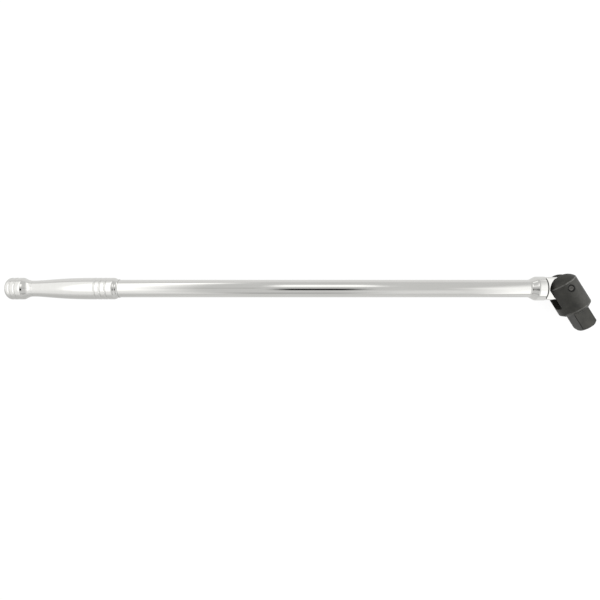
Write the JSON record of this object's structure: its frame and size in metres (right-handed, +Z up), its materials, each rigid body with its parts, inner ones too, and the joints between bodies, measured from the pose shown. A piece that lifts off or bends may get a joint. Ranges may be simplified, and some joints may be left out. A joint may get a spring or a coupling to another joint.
{
  "type": "breaker bar",
  "caption": "Long chrome breaker bar with a turned grip and end knob, and a dark forked head that swings on a cross pin and carries a square drive with a detent ball.",
  "frame": {"origin": "under the middle of the tool's outline, on the surface that it lies on", "axes": "+X along the bar from the knob towards the flexing head, +Z up along the pivot pin, +Y across the bar, away from the side the drive is folded to"},
  "size_m": [0.456, 0.0444, 0.0248],
  "materials": {
    "bar_chrome": "polished",
    "grip_chrome": "polished",
    "cap_chrome": "polished",
    "phosphate_steel": "dark manganese phosphate",
    "pin_steel": "ground",
    "ball_steel": "polished",
    "spring_steel": "drawn wire"
  },
  "bodies": {
    "handle": {"bar": "bar_chrome", "grip_sleeve": "grip_chrome", "end_cap": "cap_chrome"},
    "head": {"yoke_head": "phosphate_steel", "pivot_pin": "pin_steel", "friction_spring": "spring_steel", "detent_spring": "spring_steel"},
    "plunger": {"friction_plunger": "ball_steel"},
    "ball": {"detent_ball": "ball_steel"}
  },
  "joints": [
    {"name": "head_swing", "type": "hinge", "parent": "handle", "child": "head", "pos_m": [0.20416, 0.01071, 0.01242], "axis": [0, 0, 1], "range_deg": [-42, 158]},
    {"name": "friction_plunger_travel", "type": "slide", "parent": "head", "child": "plunger", "axis": [0.5299, -0.848, 0], "range_m": [0, 0.0008], "stiffness_N_per_m": 3000, "springref_m": -0.001, "deforming": ["friction_spring"]},
    {"name": "detent_ball_press", "type": "slide", "parent": "head", "child": "ball", "axis": [-0.848, -0.5299, 0], "range_m": [0, 0.0008], "stiffness_N_per_m": 2000, "springref_m": -0.002, "deforming": ["detent_spring"]}
  ]
}
